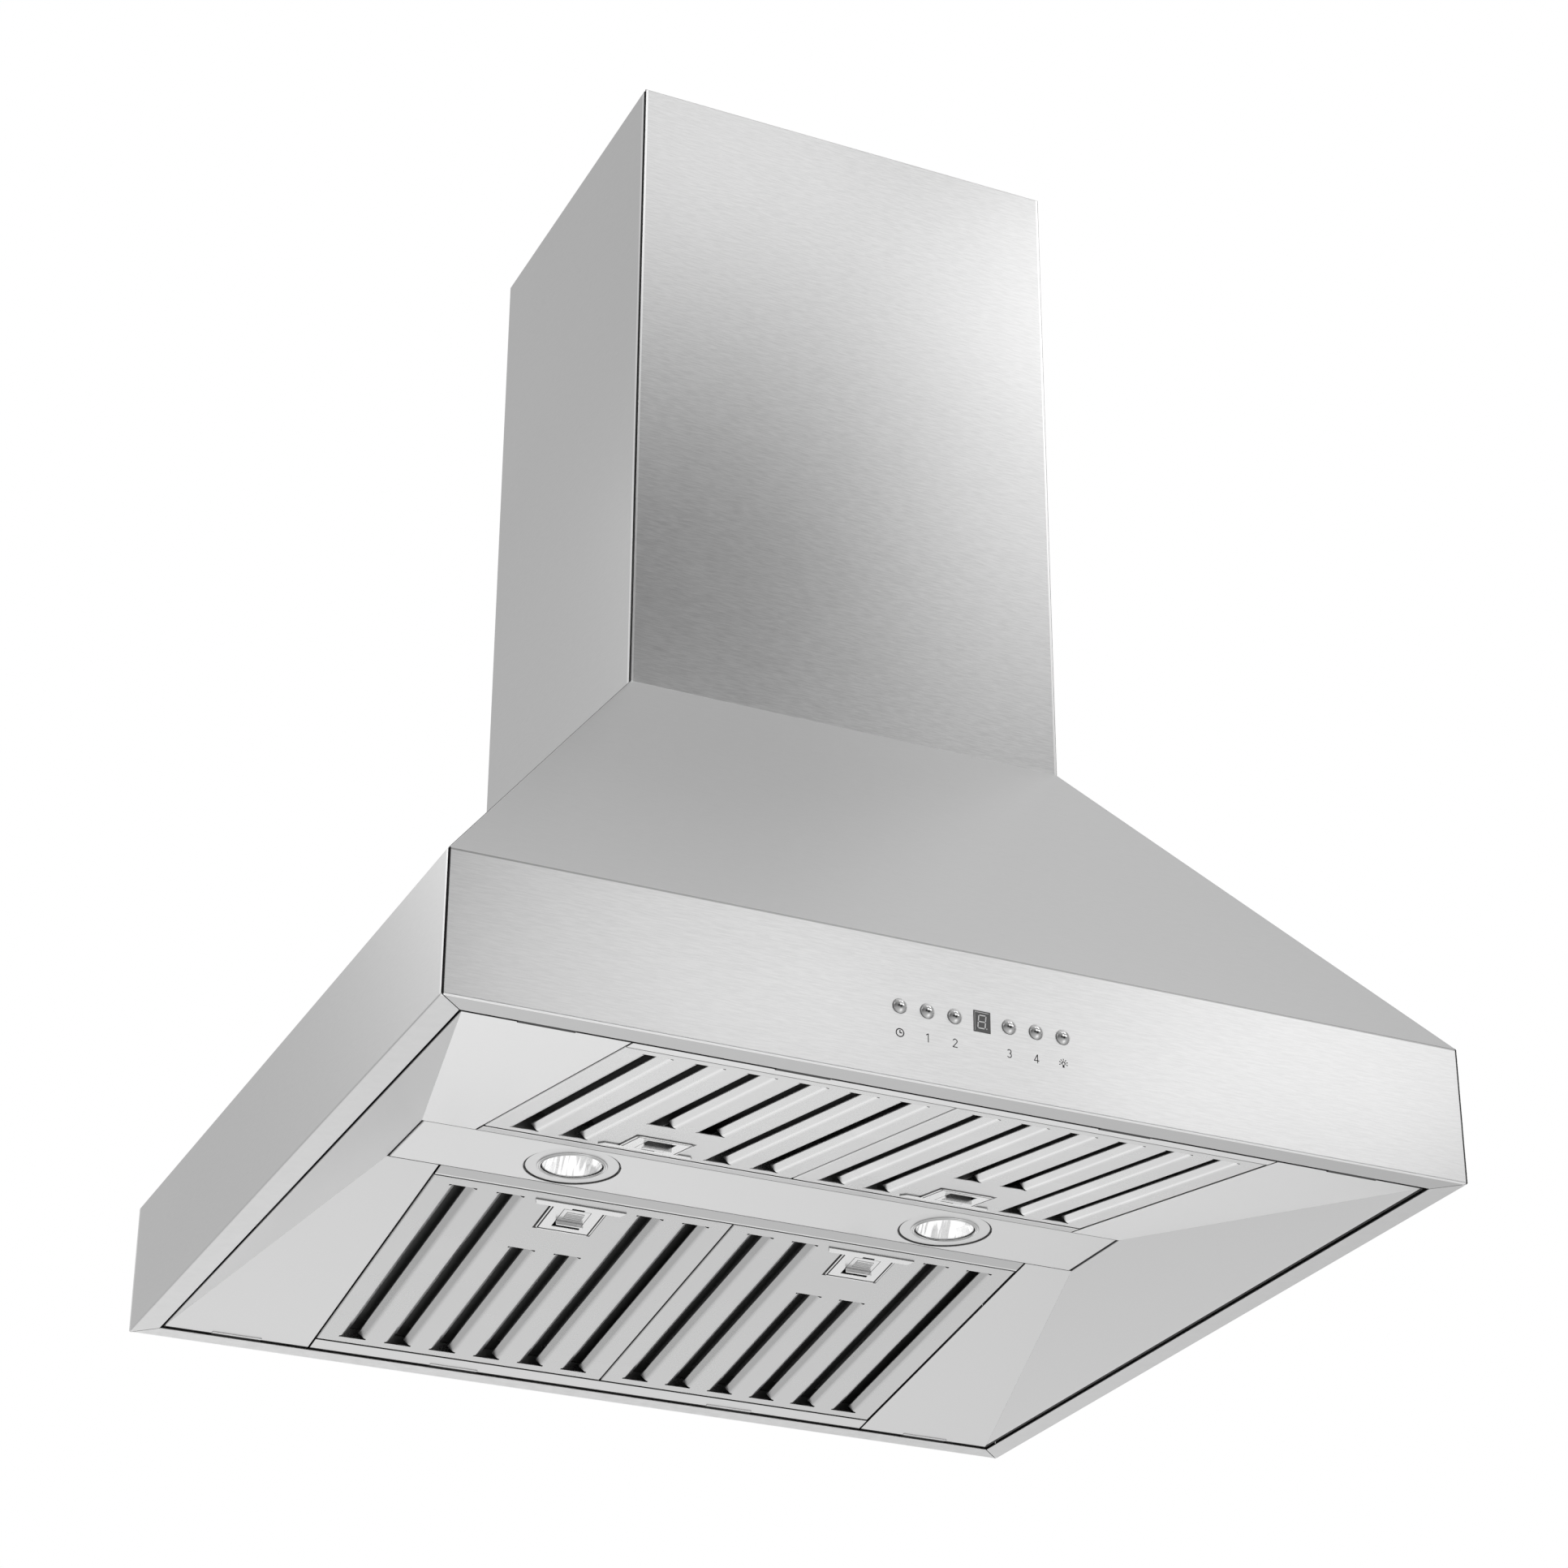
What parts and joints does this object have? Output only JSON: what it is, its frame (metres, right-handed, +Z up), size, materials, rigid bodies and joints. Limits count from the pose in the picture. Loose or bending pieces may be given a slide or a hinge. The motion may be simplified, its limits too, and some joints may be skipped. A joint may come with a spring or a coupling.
{
  "type": "island range hood",
  "caption": "Ceiling-hung stainless kitchen hood with a pyramid canopy, telescoping chimney, hinged baffle filters, twist-out lamps and push-button fan controls.",
  "frame": {"origin": "centre of the rim's underside", "axes": "+Z up to the ceiling, -Y towards the control face, +X to the right of someone facing the controls"},
  "size_m": [0.762, 0.715, 0.9155],
  "materials": {
    "canopy_steel": "fine horizontal brushing",
    "liner_steel": "satin",
    "filter_steel": "satin",
    "latch_steel": "bright",
    "ring_steel": "satin with a bright inner rim",
    "button_chrome": "polished",
    "lamp_glass": "clear over a faceted reflector",
    "smoked_glass": "smoked",
    "galvanised": "zinc",
    "motor_black": "satin",
    "aluminium": "mill",
    "board_green": "solder mask",
    "black_plastic": "matt",
    "grey_plastic": "matt"
  },
  "bodies": {
    "root": {"front_panel": "canopy_steel", "liner_front": "liner_steel", "rear_panel": "canopy_steel", "liner_rear": "liner_steel", "left_panel": "canopy_steel", "liner_left": "liner_steel", "right_panel": "canopy_steel", "liner_right": "liner_steel", "chimney_front": "canopy_steel", "chimney_wrap": "canopy_steel", "light_panel": "liner_steel", "lamp_housing_left": "galvanised", "bulb_left": "lamp_glass", "lamp_housing_right": "galvanised", "bulb_right": "lamp_glass", "control_board": "board_green", "board_standoffs": "aluminium", "push_switches": "black_plastic", "display_module": "black_plastic", "display_window": "smoked_glass", "blower_housing": "galvanised", "motor": "motor_black", "motor_bracket": "galvanised", "blower_deck": "galvanised", "duct_collar": "galvanised", "damper_pin": "galvanised", "support_struts": "galvanised", "frame_bolts": "galvanised", "ceiling_plate": "galvanised", "transformer": "grey_plastic", "junction_box": "galvanised"},
    "filter_front_left": {"filter_front_left": "filter_steel", "filter_back_front_left": "filter_steel", "latch_plate_front_left": "latch_steel"},
    "latch_front_left": {"latch_slider_front_left": "latch_steel"},
    "filter_front_right": {"filter_front_right": "filter_steel", "filter_back_front_right": "filter_steel", "latch_plate_front_right": "latch_steel"},
    "latch_front_right": {"latch_slider_front_right": "latch_steel"},
    "filter_rear_left": {"filter_rear_left": "filter_steel", "filter_back_rear_left": "filter_steel", "latch_plate_rear_left": "latch_steel"},
    "latch_rear_left": {"latch_slider_rear_left": "latch_steel"},
    "filter_rear_right": {"filter_rear_right": "filter_steel", "filter_back_rear_right": "filter_steel", "latch_plate_rear_right": "latch_steel"},
    "latch_rear_right": {"latch_slider_rear_right": "latch_steel"},
    "button_timer": {"button_timer": "button_chrome"},
    "button_speed_1": {"button_speed_1": "button_chrome"},
    "button_speed_2": {"button_speed_2": "button_chrome"},
    "button_speed_3": {"button_speed_3": "button_chrome"},
    "button_speed_4": {"button_speed_4": "button_chrome"},
    "button_light": {"button_light": "button_chrome"},
    "lamp_ring_left": {"lamp_ring_left": "ring_steel"},
    "lamp_ring_right": {"lamp_ring_right": "ring_steel"},
    "fan_wheel": {"fan_wheel": "galvanised"},
    "damper_flap_front": {"damper_flap_front": "aluminium"},
    "damper_flap_rear": {"damper_flap_rear": "aluminium"},
    "upper_chimney": {"upper_chimney": "canopy_steel"}
  },
  "joints": [
    {"name": "filter_swing_front_left", "type": "hinge", "parent": "root", "child": "filter_front_left", "pos_m": [-0.12045, -0.31772, 0.00387], "axis": [-1, 0, 0], "range_deg": [0, 60]},
    {"name": "latch_slide_front_left", "type": "slide", "parent": "filter_front_left", "child": "latch_front_left", "axis": [0, -0.987, -0.161], "range_m": [0, 0.007], "stiffness_N_per_m": 200, "springref_m": -0.004},
    {"name": "filter_swing_front_right", "type": "hinge", "parent": "root", "child": "filter_front_right", "pos_m": [0.12045, -0.31772, 0.00387], "axis": [-1, 0, 0], "range_deg": [0, 60]},
    {"name": "latch_slide_front_right", "type": "slide", "parent": "filter_front_right", "child": "latch_front_right", "axis": [0, -0.987, -0.161], "range_m": [0, 0.007], "stiffness_N_per_m": 200, "springref_m": -0.004},
    {"name": "filter_swing_rear_left", "type": "hinge", "parent": "root", "child": "filter_rear_left", "pos_m": [-0.12045, 0.31772, 0.00387], "axis": [1, 0, 0], "range_deg": [0, 60]},
    {"name": "latch_slide_rear_left", "type": "slide", "parent": "filter_rear_left", "child": "latch_rear_left", "axis": [0, 0.987, -0.161], "range_m": [0, 0.007], "stiffness_N_per_m": 200, "springref_m": -0.004},
    {"name": "filter_swing_rear_right", "type": "hinge", "parent": "root", "child": "filter_rear_right", "pos_m": [0.12045, 0.31772, 0.00387], "axis": [1, 0, 0], "range_deg": [0, 60]},
    {"name": "latch_slide_rear_right", "type": "slide", "parent": "filter_rear_right", "child": "latch_rear_right", "axis": [0, 0.987, -0.161], "range_m": [0, 0.007], "stiffness_N_per_m": 200, "springref_m": -0.004},
    {"name": "press_timer", "type": "slide", "parent": "root", "child": "button_timer", "axis": [0, 1, 0], "range_m": [0, 0.0015], "stiffness_N_per_m": 600, "springref_m": -0.001},
    {"name": "press_speed_1", "type": "slide", "parent": "root", "child": "button_speed_1", "axis": [0, 1, 0], "range_m": [0, 0.0015], "stiffness_N_per_m": 600, "springref_m": -0.001},
    {"name": "press_speed_2", "type": "slide", "parent": "root", "child": "button_speed_2", "axis": [0, 1, 0], "range_m": [0, 0.0015], "stiffness_N_per_m": 600, "springref_m": -0.001},
    {"name": "press_speed_3", "type": "slide", "parent": "root", "child": "button_speed_3", "axis": [0, 1, 0], "range_m": [0, 0.0015], "stiffness_N_per_m": 600, "springref_m": -0.001},
    {"name": "press_speed_4", "type": "slide", "parent": "root", "child": "button_speed_4", "axis": [0, 1, 0], "range_m": [0, 0.0015], "stiffness_N_per_m": 600, "springref_m": -0.001},
    {"name": "press_light", "type": "slide", "parent": "root", "child": "button_light", "axis": [0, 1, 0], "range_m": [0, 0.0015], "stiffness_N_per_m": 600, "springref_m": -0.001},
    {"name": "lamp_twist_left", "type": "hinge", "parent": "root", "child": "lamp_ring_left", "pos_m": [-0.1525, 0, 0.0495], "axis": [0, 0, -1], "range_deg": [0, 25]},
    {"name": "lamp_twist_right", "type": "hinge", "parent": "root", "child": "lamp_ring_right", "pos_m": [0.1525, 0, 0.0495], "axis": [0, 0, -1], "range_deg": [0, 25]},
    {"name": "fan_spin", "type": "hinge", "parent": "root", "child": "fan_wheel", "pos_m": [0, -0.075, 0.21], "axis": [1, 0, 0], "continuous": true},
    {"name": "damper_swing_front", "type": "hinge", "parent": "root", "child": "damper_flap_front", "pos_m": [0, 0, 0.367], "axis": [-1, 0, 0], "range_deg": [0, 75]},
    {"name": "damper_swing_rear", "type": "hinge", "parent": "root", "child": "damper_flap_rear", "pos_m": [0, 0, 0.367], "axis": [1, 0, 0], "range_deg": [0, 75]},
    {"name": "chimney_extend", "type": "slide", "parent": "root", "child": "upper_chimney", "axis": [0, 0, 1], "range_m": [0, 0.3]}
  ]
}
